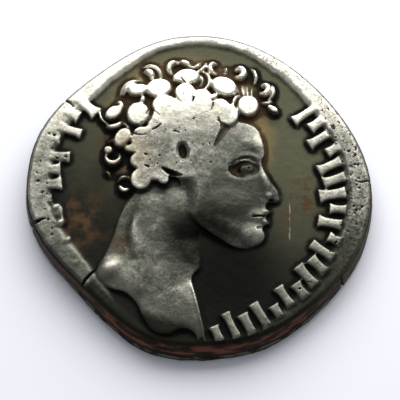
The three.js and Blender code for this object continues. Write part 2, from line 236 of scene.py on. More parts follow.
# Snail curls, each a crescent round a drilled eye and bold enough to be rubbed flat, and the fine strands
# that run outside them.
BOLD, FINE = 0.7, 0.4
LOCKS = [
    (-2.8, 6.15, 0.3, 118, -38, 0.34, BOLD), (-2.65, 6.2, 0.62, 122, -28, 0.2, FINE),
    (-1.25, 6.6, 0.36, 62, 245, 0.28, BOLD), (-1.05, 6.2, 0.78, 95, 36, 0.24, BOLD),
    (-0.35, 7.1, 0.38, -105, -10, 0.13, FINE), (-0.35, 7.15, 0.74, -88, -8, 0.16, FINE),
    (-0.2, 5.95, 0.38, 60, -62, 0.13, FINE), (-0.12, 5.88, 0.66, 64, -80, 0.17, BOLD),
    (0.85, 6.62, 0.3, 70, 292, 0.24, BOLD), (1.25, 6.55, 0.18, 70, -70, 0.12, FINE),
    (2.08, 6.36, 0.27, 148, -150, 0.3, BOLD), (2.3, 6.15, 0.68, 50, -35, 0.18, FINE),
    (3.37, 5.43, 0.26, 128, -148, 0.27, BOLD), (3.35, 5.4, 0.57, 40, -70, 0.16, FINE),
    (2.55, 4.45, 0.79, 120, 202, 0.16, BOLD), (3.5, 5.15, 0.48, -125, -45, 0.15, FINE),
    (-3.15, 4.95, 1.04, 170, 90, 0.17, FINE), (-3.2, 4.95, 0.8, 170, 92, 0.22, BOLD),
    (-3.4, 4.95, 0.45, 15, -50, 0.26, BOLD), (-4.3, 4.43, 0.24, -75, 108, 0.22, BOLD),
    (-4.55, 4.12, 0.66, 160, 268, 0.12, FINE), (-4.55, 3.78, 0.52, -132, -12, 0.28, BOLD),
    (-3.2, 4.0, 0.86, 205, 252, 0.17, FINE), (-4.6, 2.2, 0.36, 115, 35, 0.13, FINE),
    (-4.5, 1.62, 0.38, 138, 398, 0.24, BOLD), (-5.0, 0.5, 0.38, 78, 5, 0.12, FINE),
    (-3.85, 0.02, 0.28, 162, 338, 0.2, BOLD), (-3.85, 0.12, 0.42, 158, 48, 0.17, FINE),
]
for x, y, radius, start, stop, width, height in LOCKS:
    relief.append(lock(x, y, radius, start, stop, 1.3 * width, height))
for i in range(4):
    fan = 2.15 + 0.21 * i
    relief.append(strand([(fan, 4.95, 0.8), (fan - 0.05, 5.3, 1), (1.25 * fan - 0.7, 5.7, 0.4)], 0.11, 0.3))

# The temple, the nape and the partings between lobes, and then the ear with a soft ring round its pit.
# They are cut after the coin has been rubbed flat.
HAIR_GROOVES = [
    ([(-2.5, 3.06, 0.5), (-2.25, 3.14, 1), (-2.02, 3.34, 0.5)], 0.15, 0.2),
    ([(-1.95, 0.96, 0.4), (-1.6, 0.73, 1), (-1.3, 0.61, 1), (-0.85, 0.52, 0.3)], 0.34, 0.26),
    ([(-1.15, 0.6, 0.6), (-1.05, 0.1, 1), (-0.95, -0.5, 0.8), (-0.7, -1.2, 0.3)], 0.32, 0.15),
    ([(-1.02, 6.05, 0.5), (-0.87, 5.86, 1), (-0.7, 5.7, 1)], 0.1, 0.25),
    ([(-2.6, 4.24, 1), (-2.8, 3.92, 0.5)], 0.14, 0.25),
    ([(-2.66, 3.92, 0.5), (-2.62, 3.65, 1), (-2.82, 3.4, 0.6)], 0.1, 0.2),
    ([(-3.45, 2.85, 1), (-3.0, 2.72, 0.6), (-2.7, 2.8, 0.3)], 0.1, 0.16),
    ([(-2.9, 1.72, 0.6), (-2.7, 1.66, 1)], 0.13, 0.2),
    ([(-1.25, 5.0, 0.8), (-1.15, 4.75, 1), (-0.9, 4.62, 0.4)], 0.12, 0.16),
    ([(-0.3, 4.95, 1), (-0.28, 4.7, 0.9), (-0.45, 4.55, 0.3)], 0.12, 0.16),
    ([(0.72, 4.62, 1), (0.72, 4.3, 0.8), (0.55, 4.05, 0.3)], 0.12, 0.14),
    ([(0.98, 3.78, 0.5), (1.05, 3.42, 1), (1.3, 3.28, 1)], 0.14, 0.16),
    ([(-2.5, 4.2, 1), (-2.2, 4.05, 0.8), (-2.05, 3.8, 0.3)], 0.12, 0.14),
    ([(-2.85, 1.1, 0.6), (-2.6, 0.97, 1)], 0.13, 0.2),
    ([(-1.42, 2.95, 0.5), (-1.2, 3.0, 1)], 0.12, 0.12),
    ([(1.5, 3.3, 1.2), (1.12, 2.7, 1), (0.8, 2.1, 0.4)], 0.46, 0.17),
]
hollows = [
    lump(-0.87, 1.88, 0.21, 0.42, 0.34, 8, floor=THICKNESS),
    lump(-0.86, 1.86, 0.36, 0.58, 0.1, 8, floor=THICKNESS),
]
for points, width, depth in HAIR_GROOVES:
    hollows.append(strand(points, width, depth, floor=THICKNESS))

# ---- Face ----
# A calm young man's in profile, laid out by thirds: hairline to brow, brow to nose, nose to chin.
# Forehead, cheek and jaw are one soft form. Lids, nostril and lips are cut sharper.

HAIRLINE = 4.0
CHIN = -3.25
THIRD = (HAIRLINE - CHIN) / 3
BROW = HAIRLINE - THIRD
NOSE_BASE = BROW - THIRD
MOUTH = NOSE_BASE - THIRD / 3
FRONT = 3.3
FACE_RISE = 0.57
EYE_X = FRONT - 0.95
EYE_Y = BROW - 0.26 * THIRD


def plate(outline, low, high):
    """An upright wall round a smooth outline, closed above and below."""
    bpy.ops.curve.primitive_bezier_circle_add(location=(0, 0, (low + high) / 2))
    edge = bpy.context.object
    edge.data.dimensions = "2D"
    edge.data.fill_mode = "BOTH"
    edge.data.extrude = (high - low) / 2
    edge.data.resolution_u = 5
    spline = edge.data.splines[0]
    spline.bezier_points.add(len(outline) - len(spline.bezier_points))
    for knot, (x, y) in zip(spline.bezier_points, outline):
        knot.co = (x, y, 0)
        knot.handle_left_type = knot.handle_right_type = "AUTO"
    bpy.ops.object.convert(target="MESH")
    form = bpy.context.object
    bpy.ops.object.mode_set(mode="EDIT")
    bpy.ops.mesh.select_all(action="SELECT")
    bpy.ops.mesh.remove_doubles(threshold=0.001)
    bpy.ops.mesh.normals_make_consistent(inside=False)
    bpy.ops.object.mode_set(mode="OBJECT")
    return welded([form], 0.06)


def finish_with(form, kind, **settings):
    """Adds a modifier of that kind and applies it."""
    bpy.context.view_layer.objects.active = form
    modifier = form.modifiers.new(kind.lower(), kind)
    for name, value in settings.items():
        setattr(modifier, name, value)
    bpy.ops.object.modifier_apply(modifier=modifier.name)
    return form


def welded(parts, grain):
    """The parts as one skin, with a grain of that size."""
    bpy.ops.object.select_all(action="DESELECT")
    for part in parts:
        part.select_set(True)
    bpy.context.view_layer.objects.active = parts[0]
    bpy.ops.object.join()
    bpy.ops.object.transform_apply(location=True, rotation=True, scale=True)
    return finish_with(parts[0], "REMESH", mode="VOXEL", voxel_size=grain)


def cut(form, cutter, operation="DIFFERENCE"):
    """Cuts one skin with another, or keeps what they share."""
    finish_with(form, "BOOLEAN", object=cutter, operation=operation, solver="MANIFOLD")
    bpy.data.objects.remove(cutter)
    return form


profile = plate([
    (FRONT - 1.1, HAIRLINE - 0.18 * THIRD),
    (FRONT - 0.35, HAIRLINE - 0.3 * THIRD),
    (FRONT - 0.02, HAIRLINE - 0.6 * THIRD),
    (FRONT + 0.1, BROW + 0.1 * THIRD),
    (FRONT - 0.06, BROW - 0.14 * THIRD),
    (FRONT + 0.3, BROW - 0.48 * THIRD),
    (FRONT + 0.84, NOSE_BASE + 0.17 * THIRD),
    (FRONT + 0.8, NOSE_BASE + 0.02 * THIRD),
    (FRONT + 0.22, NOSE_BASE - 0.02 * THIRD),
    (FRONT + 0.16, NOSE_BASE - 0.16 * THIRD),
    (FRONT + 0.34, NOSE_BASE - 0.25 * THIRD),
    (FRONT + 0.12, MOUTH),
    (FRONT + 0.27, MOUTH - 0.11 * THIRD),
    (FRONT - 0.04, MOUTH - 0.26 * THIRD),
    (FRONT + 0.08, MOUTH - 0.46 * THIRD),
    (FRONT - 0.28, CHIN + 0.02 * THIRD),
    (FRONT - 1.0, CHIN - 0.05 * THIRD),
    (FRONT - 2.6, CHIN + 0.25 * THIRD),
    (FRONT - 3.9, CHIN + 0.75 * THIRD),
    (FRONT - 4.3, BROW - 0.6 * THIRD),
    (FRONT - 4.4, HAIRLINE - 0.3 * THIRD),
], OBVERSE_FIELD - 0.3, OBVERSE_FIELD + 0.7)
SOCKET = 0.5  # how high the skin stands over the field round the eye
face = welded([
    lump(0.1, 0.8, 5.2, 5.6, FACE_RISE + 0.34, floor=OBVERSE_FIELD - 0.34),
    lump(FRONT - 2.2, BROW - 0.95 * THIRD, 2.3, 1.6, 0.56),
    lump(FRONT - 0.8, BROW + 0.3 * THIRD, 1.3, 0.9, 0.5, -10),
    lump(FRONT + 0.08, BROW - 0.5 * THIRD, 0.3, 1.2, 0.5, 16),
    lump(FRONT - 0.45, MOUTH, 0.75, 0.7, 0.42),
    lump(FRONT - 0.6, CHIN + 0.3 * THIRD, 0.9, 0.7, 0.46),
    lump(FRONT - 2.6, CHIN + 0.6 * THIRD, 2.4, 0.7, 0.48, -22),
], 0.1)
cut(face, lump(EYE_X + 0.15, EYE_Y + 0.05, 1.0, 0.6, 0.2, 6, floor=OBVERSE_FIELD + SOCKET + 0.08))
cut(face, lump(-1.5, -1.2, 1.3, 2.2, 0.3, -24, floor=OBVERSE_FIELD + 0.6))
finish_with(face, "SMOOTH", factor=0.5, iterations=9)
cut(face, profile, "INTERSECT")
cut(face, lump(EYE_X, EYE_Y, 0.86, 0.52, 0.36, 6, floor=OBVERSE_FIELD + SOCKET))
relief += [
    face,
    lump(EYE_X + 0.1, EYE_Y - 0.02, 0.56, 0.42, 0.47),
    lump(EYE_X + 0.18, EYE_Y - 0.01, 0.3, 0.32, 0.53),
    strand([(EYE_X - 0.86, EYE_Y - 0.06, 0.5), (EYE_X - 0.4, EYE_Y + 0.34, 1), (EYE_X + 0.2, EYE_Y + 0.46, 1),
            (EYE_X + 0.74, EYE_Y + 0.14, 0.6)], 0.17, SOCKET + 0.1),
    strand([(EYE_X - 0.78, EYE_Y - 0.12, 0.5), (EYE_X - 0.1, EYE_Y - 0.48, 1),
            (EYE_X + 0.56, EYE_Y - 0.3, 0.6)], 0.14, SOCKET + 0.04),
    strand([(EYE_X - 0.95, EYE_Y + 0.3, 0.4), (EYE_X - 0.3, EYE_Y + 0.7, 1), (EYE_X + 0.45, EYE_Y + 0.72, 1),
            (EYE_X + 0.9, EYE_Y + 0.45, 0.6)], 0.34, SOCKET + 0.09),
    lump(FRONT + 0.28, NOSE_BASE + 0.14 * THIRD, 0.32, 0.28, 0.42),
    lump(FRONT + 0.06, MOUTH + 0.1 * THIRD, 0.36, 0.15, 0.34, 14),
    lump(FRONT + 0.02, MOUTH - 0.12 * THIRD, 0.34, 0.16, 0.34, -10),
]
hollows += [
    lump(EYE_X + 0.22, EYE_Y - 0.01, 0.1, 0.1, 0.14, floor=OBVERSE_FIELD + 0.52),
    strand([(EYE_X - 0.9, EYE_Y + 0.12, 0.5), (EYE_X - 0.35, EYE_Y + 0.52, 1), (EYE_X + 0.3, EYE_Y + 0.6, 1),
            (EYE_X + 0.85, EYE_Y + 0.28, 0.6)], 0.13, 0.12, floor=OBVERSE_FIELD + SOCKET + 0.03),
    strand([(FRONT - 0.62, MOUTH - 0.05, 0.5), (FRONT - 0.25, MOUTH, 1), (FRONT + 0.6, MOUTH + 0.02, 1)],
           0.15, 0.22, floor=OBVERSE_FIELD + 0.38),
    lump(FRONT + 0.46, NOSE_BASE + 0.03 * THIRD, 0.24, 0.09, 0.26, floor=OBVERSE_FIELD + 0.36),
    strand([(FRONT - 0.12, NOSE_BASE + 0.28 * THIRD, 0.6), (FRONT - 0.14, NOSE_BASE + 0.1 * THIRD, 1),
            (FRONT + 0.0, NOSE_BASE - 0.02 * THIRD, 0.8)], 0.16, 0.14, floor=OBVERSE_FIELD + 0.44),
    strand([(FRONT - 0.22, NOSE_BASE + 0.12 * THIRD, 0.4), (FRONT - 0.5, NOSE_BASE - 0.14 * THIRD, 1),
            (FRONT - 0.6, MOUTH, 0.4)], 0.22, 0.06, floor=OBVERSE_FIELD + 0.47),
    strand([(FRONT - 0.35, MOUTH - 0.27 * THIRD, 0.5), (FRONT, MOUTH - 0.25 * THIRD, 1)], 0.24, 0.12,
           floor=OBVERSE_FIELD + 0.38),
]

# ---- Bust ----
# The bare neck and shoulders, cut off below in a curve that ends in a point.

cut_off = plate([
    (0.9, -2.2), (0.75, -3.4), (0.3, -4.2), (-0.36, -4.9), (-0.1, -6.3), (0.26, -7.6), (0.5, -8.7),
    (0.06, -8.6), (-0.25, -7.85), (-0.9, -7.65), (-1.6, -7.9), (-2.3, -7.75), (-2.85, -7.1), (-3.2, -6.3),
    (-3.75, -5.75), (-4.6, -5.45), (-5.4, -4.75), (-5.0, -3.9), (-4.5, -2.8), (-4.05, -1.4), (-3.6, -0.6),
    (-2.8, 0.1), (0.2, 0.2),
], OBVERSE_FIELD - 0.3, OBVERSE_FIELD + 0.6)
bust = welded([
    lump(-2.3, -3.0, 1.4, 4.2, 0.42, 2),
    lump(-1.7, -4.6, 1.9, 3.4, 0.36, -4),
    lump(-1.35, -6.3, 2.1, 2.6, 0.36, 10),
    lump(-3.1, -4.9, 2.0, 1.3, 0.32, 20),
    lump(-4.6, -4.45, 0.9, 0.6, 0.42, 35),
    lump(-1.0, -1.2, 1.5, 2.0, 0.42),
    lump(-2.5, -2.8, 2.9, 4.7, 0.16),
    strand([(-3.2, -1.2, 0.5), (-3.4, -2.0, 1), (-3.4, -3.0, 1), (-3.2, -4.0, 0.5)], 0.55, 0.46),
], 0.1)
finish_with(bust, "SMOOTH", factor=0.5, iterations=12)
under_jaw = [(2.0, -3.3, 0.6), (0.7, -3.3, 1), (-0.2, -2.9, 0.8), (-0.6, -2.0, 0.3)]
cut(bust, welded([strand(under_jaw, 1.9, 0.34, floor=OBVERSE_FIELD + 0.46)], 0.07))
finish_with(bust, "SMOOTH", factor=0.5, iterations=10)
cut(bust, cut_off, "INTERSECT")
front_edge = [(-0.55, -4.7, 0.4), (-0.42, -5.3, 1), (-0.12, -6.4, 1), (0.14, -7.5, 0.8), (0.3, -8.4, 0.3)]
relief += [bust, strand(front_edge, 0.2, 0.42)]

# ---- Legend ----
# Plain strokes with flared ends stand where words would run. Each leans and sits a little its own way, as
# punched by hand, and their outer ends run into the rim where it is broad.

LEGEND_X, LEGEND_Y = -0.43, -0.4
LEGEND_RADIUS = 7.38
STROKE_LENGTH, STROKE_WIDTH, STROKE_FLARE, STROKE_LEAN, STROKE_STEP = 1.45, 0.47, 1.4, 15, 6.3
STROKE_LENGTHS = [1, 0.62, 0.9, 0.5, 1, 0.8]
LEGEND_RISE = 0.27
hand = random.Random(5)


def stroke(x, y, turn, length, rise, floor=OBVERSE_FIELD, width=STROKE_WIDTH):
    """One bar, wider at its ends, with its upper edges rounded."""
    bpy.ops.mesh.primitive_cube_add(size=1.0, location=(x, y, floor), rotation=(0, 0, math.radians(turn)))
    bar = bpy.context.object
    bar.scale = (length, width, 2 * rise)
    bpy.ops.object.mode_set(mode="EDIT")
    bpy.ops.mesh.select_all(action="SELECT")
    bpy.ops.mesh.subdivide(number_cuts=5)
    bpy.ops.object.mode_set(mode="OBJECT")
    inner, outer = STROKE_FLARE + hand.uniform(-0.1, 0.3), STROKE_FLARE + hand.uniform(-0.3, 0.1)
    for vertex in bar.data.vertices:
        flare = inner if vertex.co.x < 0 else outer
        vertex.co.y *= 1 + (flare - 1) * abs(2 * vertex.co.x) ** 3
        if vertex.co.z > 0.4:
            vertex.co.y *= 0.82
    return bar


def stroke_row(start, stop, rubbed=0.0, step=STROKE_STEP, floor=OBVERSE_FIELD, side=1):
    """Strokes side by side round the legend's circle, rubbed lower towards the end of the row."""
    count = round(abs(stop - start) / step) + 1
    row = []
    for i in range(count):
        degrees = start + (stop - start) * i / (count - 1)
        length = STROKE_LENGTH * STROKE_LENGTHS[i % len(STROKE_LENGTHS)] * hand.uniform(0.92, 1.08)
        slack = (STROKE_LENGTH - length) / 2
        radius = LEGEND_RADIUS + (slack if i % 2 else -slack) + hand.uniform(-0.06, 0.06)
        row.append(stroke(
            LEGEND_X + radius * math.cos(math.radians(degrees)),
            side * (LEGEND_Y + radius * math.sin(math.radians(degrees))),
            side * (degrees + STROKE_LEAN * math.sin(i * 0.4) + hand.uniform(-3, 3)),
            length,
            LEGEND_RISE * (1 - rubbed * i / (count - 1)),
            floor,
            STROKE_WIDTH * hand.uniform(0.85, 1.15),
        ))
    return row


relief += stroke_row(138, 232, rubbed=0.55) + stroke_row(37, -80)

# What is left of the words where they are rubbed almost away.
STUBS = [
    (-7.45, -1.1, 0.34, 0.22, 0.28), (-7.2, -1.95, 0.36, 0.24, 0.3), (-6.85, -2.95, 0.4, 0.25, 0.27),
    (-6.35, -4.15, 0.42, 0.28, 0.24), (-4.57, -6.66, 0.2, 0.08, 0.14), (-4.15, -7.15, 0.18, 0.07, 0.14),
]
for x, y, rx, ry, reach in STUBS:
    relief.append(lump(x, y, rx, ry, reach, math.degrees(math.atan2(y, x)) + 30))

# ---- Reverse ----
# A standing draped figure with a dish and a staff, plainer than the bust, between two rows of strokes.

REVERSE_REACH = REVERSE_FIELD + 0.12


def limb(start, end, thick):
    """A long lump from one joint to the next."""
    (x0, y0), (x1, y1) = start, end
    turn = math.degrees(math.atan2(y1 - y0, x1 - x0))
    half = math.hypot(x1 - x0, y1 - y0) / 2 + thick
    return lump((x0 + x1) / 2, (y0 + y1) / 2, half, thick, REVERSE_REACH, turn, floor=REVERSE_FIELD)


def low_lump(x, y, rx, ry, share=1.0, turn=0.0):
    """A rounded form of the reverse, that share of its full reach high."""
    return lump(x, y, rx, ry, REVERSE_REACH * share, turn, floor=REVERSE_FIELD)


gown = plate([
    (-0.95, -1.7), (-1.15, -0.2), (-1.5, 2.5), (-1.75, 4.9), (0, 5.1), (1.7, 4.9),
    (1.4, 2.5), (1.15, -0.2), (0.95, -1.7), (0, -1.9),
], REVERSE_FIELD - 0.16, REVERSE_FIELD + 0.4)
underside = [
    gown,
    low_lump(0, -2.5, 1.1, 1.4),
    low_lump(0.08, -4.7, 0.62, 0.74),
    low_lump(-0.5, -4.8, 0.34, 0.36, 0.8),
    low_lump(0.35, -4.75, 0.4, 0.2, 1.1, -20),
    limb((0.8, -3.3), (1.7, -2.1), 0.36),
    limb((1.6, -2.1), (2.9, -2.6), 0.3),
    low_lump(3.3, -2.8, 0.62, 0.34, 0.9),
    limb((-0.8, -3.3), (-1.7, -2.2), 0.36),
    limb((-1.6, -2.2), (-2.5, -3.0), 0.3),
    limb((-1.5, -2.2), (-2.0, 2.4), 0.34),
    strand([(-2.6, 5.2, 1), (-2.6, -5.7, 1)], 0.2, 0.34, floor=REVERSE_FIELD),
    strand([(-3.7, 5.4, 0.8), (0, 5.45, 1), (3.7, 5.4, 0.8)], 0.2, 0.34, floor=REVERSE_FIELD),
]

# Folds fall down the skirt and hang across the breast.
SKIRT_FOLDS, BREAST_FOLDS = 7, 4
for i in range(SKIRT_FOLDS):
    side = i - SKIRT_FOLDS // 2
    fall = [(side * 0.2, -1.2, 0.5), (side * 0.3, 1.2, 1), (side * 0.47, 4.7, 1)]
    underside.append(strand(fall, 0.16, 0.3, floor=REVERSE_FIELD))
for i in range(BREAST_FOLDS):
    dip = 0.5 * i
    swag = [(-0.8, -3.0 + dip, 0.6), (0, -2.6 + dip, 1), (0.8, -3.0 + dip, 0.6)]
    underside.append(strand(swag, 0.14, 0.36, floor=REVERSE_FIELD))
underside += stroke_row(30, -50, step=9, floor=REVERSE_FIELD, side=-1)
underside += stroke_row(150, 230, step=9, floor=REVERSE_FIELD, side=-1)

# ---- Edge splits ----
# Cracks that opened at the rim as the cold blank was struck.

EDGE_SPLITS = [(145.5, 0.8, 0.26), (192.5, 0.85, 0.4), (2, 0.95, 0.14), (326, 0.4, 0.3)]


def split(toward, length, mouth):
    """A wedge through the whole thickness, crooked like a tear."""
    bpy.ops.mesh.primitive_cube_add(size=1.0, location=(0, 0, THICKNESS / 2))
    wedge = bpy.context.object
    wedge.rotation_euler.z = math.radians(toward)
    bpy.ops.object.mode_set(mode="EDIT")
    bpy.ops.mesh.select_all(action="SELECT")
    bpy.ops.mesh.subdivide(number_cuts=5)
    bpy.ops.object.mode_set(mode="OBJECT")
    edge = flan_radius(toward)
    for vertex in wedge.data.vertices:
        out = vertex.co.x + 0.5
        vertex.co.x = edge - length + out * (length + 0.3)
        vertex.co.y = vertex.co.y * (0.03 + mouth * out) + 0.05 * math.sin(9 * out + toward)
        vertex.co.z *= THICKNESS + 1
    return wedge


splits = [split(*each) for each in EDGE_SPLITS]

# A fold of metal pressed flat crosses the rim at the lower left.
fold = [(-5.2, -4.3, 0.5), (-5.5, -4.68, 1), (-5.85, -5.05, 1), (-6.1, -5.5, 0.9), (-6.6, -6.1, 1)]
hollows.append(strand(fold, 0.15, 0.24, floor=OBVERSE_FIELD + 0.14))

# Casting pits, thick on the rim and few on the worn crown.
PITS = [(158, 200, 7.1, 8.5, 34), (-48, 34, 7.5, 8.5, 90)]


CROWN_PITS = 36


def pit(x, y, size, floor):
    """A small shallow hollow, a little longer than it is wide."""
    width = size * hand.uniform(0.6, 1.0)
    depth = hand.uniform(0.07, 0.12)
    return lump(x, y, size, width, depth, hand.uniform(0, 180), floor)


for start, stop, inner, outer, number in PITS:
    for i in range(number):
        turn = math.radians(hand.uniform(start, stop))
        out = hand.uniform(inner, outer)
        size = hand.uniform(0.05, 0.09)
        hollows.append(pit(out * math.cos(turn), out * math.sin(turn), size, OBVERSE_FIELD + 0.22))
for i in range(CROWN_PITS):
    turn = hand.uniform(0, 2 * math.pi)
    out = 2.4 * hand.random() ** 0.5
    size = hand.uniform(0.03, 0.07)
    hollows.append(pit(-1.0 + out * math.cos(turn), 2.9 + out * math.sin(turn), size, THICKNESS - 0.03))

# ---- Striking ----
# The forms are welded to the blank, the high points are rubbed down, and the hollows are cut. The skin
# is then softened and roughened, and keeps its finest grain where it is seen.


def inside_the_edge(inset, foot=-3.0):
    """A wall up from its foot that keeps the struck forms off the flan's side."""
    bpy.ops.mesh.primitive_cylinder_add(
        vertices=ROUND // 2, radius=1.0, depth=6.0, location=(0, 0, foot + 3.0)
    )
    wall = bpy.context.object
    for vertex in wall.data.vertices:
        turn = math.atan2(vertex.co.y, vertex.co.x)
        degrees = math.degrees(turn) % 360
        radius = flan_radius(degrees) - flank(degrees) - inset
        vertex.co.x = radius * math.cos(turn)
        vertex.co.y = radius * math.sin(turn)
    return wall


def rubbed_down():
    """What years in purses left: everything below a very flat dome, highest over the hair."""
    bpy.ops.mesh.primitive_grid_add(x_subdivisions=40, y_subdivisions=40, size=24, location=(0, 0, 0))
    rub = bpy.context.object
    bpy.ops.object.mode_set(mode="EDIT")
    bpy.ops.mesh.select_all(action="SELECT")
    bpy.ops.mesh.extrude_region_move(TRANSFORM_OT_translate={"value": (0, 0, THICKNESS)})
    bpy.ops.mesh.select_all(action="SELECT")
    bpy.ops.mesh.normals_make_consistent(inside=False)
    bpy.ops.object.mode_set(mode="OBJECT")
    for vertex in rub.data.vertices:
        if vertex.co.z > 0:
            away = (vertex.co.x + 0.8) ** 2 + (vertex.co.y - 2.8) ** 2
            vertex.co.z = THICKNESS - 0.0025 * away
    return rub


def roughen(form, size, depth, group=""):
    """Moves the skin in and out by a cloudy pattern of that size, as corrosion and handling do."""
    clouds = bpy.data.textures.new("clouds", "CLOUDS")
    clouds.noise_scale = size
    clouds.noise_depth = 3
    finish_with(form, "DISPLACE", texture=clouds, texture_coords="LOCAL", strength=depth, mid_level=0.5,
                vertex_group=group)


def thinned(form, share, below):
    """Leaves that share of the triangles on what lies below a height."""
    bpy.context.view_layer.objects.active = form
    bpy.ops.object.mode_set(mode="EDIT")
    bpy.ops.mesh.select_mode(type="VERT")
    bpy.ops.mesh.select_all(action="DESELECT")
    bpy.ops.object.mode_set(mode="OBJECT")
    heights = np.empty(len(form.data.vertices) * 3)
    form.data.vertices.foreach_get("co", heights)
    form.data.vertices.foreach_set("select", heights[2::3] < below)
    bpy.ops.object.mode_set(mode="EDIT")
    bpy.ops.mesh.decimate(ratio=share)
    bpy.ops.object.mode_set(mode="OBJECT")


GRAIN = 0.045
CORE = 0.7  # a height inside the blank, under which nothing of the obverse may reach
FINE_ABOVE = 1.2  # the skin under this height is left coarser
TRIANGLES = 190000
upper = finish_with(welded(relief, GRAIN), "SMOOTH", factor=0.5, iterations=4)
cut(upper, inside_the_edge(0.16, foot=CORE), "INTERSECT")
lower = cut(welded(underside, 2 * GRAIN), inside_the_edge(0.4), "INTERSECT")
coin = welded([blank, upper, lower], GRAIN)
coin = welded([cut(coin, rubbed_down(), "INTERSECT")], GRAIN)
cut(coin, welded(hollows, GRAIN))
cut(coin, welded(splits, GRAIN))
finish_with(coin, "SMOOTH", factor=0.5, iterations=3)
roughen(coin, 0.6, 0.03)
roughen(coin, 0.14, 0.02)
thinned(coin, 0.1, below=FINE_ABOVE)
triangles = sum(len(face.vertices) - 2 for face in coin.data.polygons)
if triangles > TRIANGLES:
    thinned(coin, TRIANGLES / triangles, below=THICKNESS + 1)


def middle(axis):
    """Halfway between the coin's two ends."""
    places = [vertex.co[axis] for vertex in coin.data.vertices]
    return (min(places) + max(places)) / 2


coin.location = (-middle(0) * MM, -middle(1) * MM, 0)
coin.scale = (MM, MM, MM)
bpy.ops.object.select_all(action="DESELECT")
coin.select_set(True)
bpy.context.view_layer.objects.active = coin
bpy.ops.object.transform_apply(location=True, rotation=True, scale=True)
bpy.ops.object.shade_smooth()

# ---- Wear, toning and painted light and shade ----
# How far each spot stands out of what is round it. The rubbed high points are bright, the sheltered hollows
# keep their dark toning, deepened by painted shade.

CELL = 0.05 * MM
CELLS = 400


def blurred(grid, radius):
    """The grid averaged over about that many millimetres."""
    reach = int(3 * radius * MM / CELL)
    bell = np.exp(-0.5 * (np.arange(-reach, reach + 1) * CELL / (radius * MM)) ** 2)
    bell /= bell.sum()
    grid = np.apply_along_axis(np.convolve, 0, grid, bell, mode="same")
    return np.apply_along_axis(np.convolve, 1, grid, bell, mode="same")


count = len(coin.data.vertices)
spots = np.empty(count * 3)
coin.data.vertices.foreach_get("co", spots)
spots = spots.reshape(-1, 3)
facing = np.empty(count * 3)
coin.data.vertices.foreach_get("normal", facing)
facing = facing.reshape(-1, 3)


def standing_out(side, radius):
    """Height over the surroundings, in millimetres, of the spots on one side of the coin."""
    chosen = side * facing[:, 2] > 0.25
    column = np.clip((spots[:, 0] / CELL + CELLS / 2).astype(int), 0, CELLS - 1)
    row = np.clip((spots[:, 1] / CELL + CELLS / 2).astype(int), 0, CELLS - 1)
    total = np.zeros((CELLS, CELLS))
    number = np.zeros((CELLS, CELLS))
    np.add.at(total, (row[chosen], column[chosen]), side * spots[chosen, 2] / MM)
    np.add.at(number, (row[chosen], column[chosen]), 1.0)
    around = blurred(total, radius) / np.maximum(blurred(number, radius), 1e-6)
    return np.where(chosen, side * spots[:, 2] / MM - around[row, column], 0.0)


for name, radius in (("near", 0.16), ("mid", 0.38), ("far", 0.9)):
    layer = coin.data.attributes.new(name, "FLOAT", "POINT")
    layer.data.foreach_set("value", standing_out(1, radius) + standing_out(-1, radius))

# The coin's one material: toning, wear and painted light and shade in its colour.
silver_with_painted_light = bpy.data.materials.new("toned_silver")
silver_with_painted_light.use_nodes = True
nodes, links = silver_with_painted_light.node_tree.nodes, silver_with_painted_light.node_tree.links
shader = nodes["Principled BSDF"]
place = nodes.new("ShaderNodeTexCoord").outputs["Object"]


def feed(socket, value):
    """Links another node's output to a socket, or sets a plain value there."""
    if hasattr(value, "is_output"):
        links.new(value, socket)
    else:
        socket.default_value = value


def maths(kind, *values):
    """One step of arithmetic."""
    step = nodes.new("ShaderNodeMath")
    step.operation = kind
    for socket, value in zip(step.inputs, values):
        feed(socket, value)
    return step.outputs[0]


def between(value, low, high):
    """Nought at low, one at high, and a smooth run between."""
    step = nodes.new("ShaderNodeMapRange")
    step.interpolation_type = "SMOOTHSTEP"
    feed(step.inputs["Value"], value)
    step.inputs["From Min"].default_value = low
    step.inputs["From Max"].default_value = high
    return step.outputs["Result"]


def mottle(size, detail=3.0, roughness=0.6, shift=0.0, level=1.0):
    """A cloudy pattern whose patches are about that many millimetres across.

    A level under one draws it out into streaks that lie level.
    """
    offset = nodes.new("ShaderNodeMapping")
    links.new(place, offset.inputs["Vector"])
    offset.inputs["Location"].default_value = (shift, 2 * shift, 3 * shift)
    offset.inputs["Scale"].default_value = (level, level, 1)
    pattern = nodes.new("ShaderNodeTexNoise")
    links.new(offset.outputs["Vector"], pattern.inputs["Vector"])
    pattern.inputs["Scale"].default_value = 1 / (size * MM)
    pattern.inputs["Detail"].default_value = detail
    pattern.inputs["Roughness"].default_value = roughness
    return pattern.outputs["Fac"]


def blend(share, low, high):
    """The low colour where the share is nought, and the high one where it is one."""
    step = nodes.new("ShaderNodeMix")
    step.data_type = "RGBA"
    feed(step.inputs["Factor"], share)
    feed(step.inputs["A"], low)
    feed(step.inputs["B"], high)
    return step.outputs["Result"]


def measured(name):
    """How far each spot stands out, as measured above."""
    layer = nodes.new("ShaderNodeAttribute")
    layer.attribute_name = name
    return layer.outputs["Fac"]


split_place = nodes.new("ShaderNodeSeparateXYZ")
links.new(place, split_place.inputs["Vector"])
east, north, up = (maths("DIVIDE", split_place.outputs[axis], MM) for axis in ("X", "Y", "Z"))
flat = nodes.new("ShaderNodeCombineXYZ")
links.new(east, flat.inputs["X"])
links.new(north, flat.inputs["Y"])


def round_about(x, y, whole, gone):
    """One as far from the point as whole, and nought from gone on."""
    apart = nodes.new("ShaderNodeVectorMath")
    apart.operation = "DISTANCE"
    links.new(flat.outputs["Vector"], apart.inputs[0])
    apart.inputs[1].default_value = (x, y, 0)
    return between(apart.outputs["Value"], gone, whole)


def both(*shares):
    """The shares multiplied, so whole only where each is whole."""
    product = shares[0]
    for share in shares[1:]:
        product = maths("MULTIPLY", product, share)
    return product


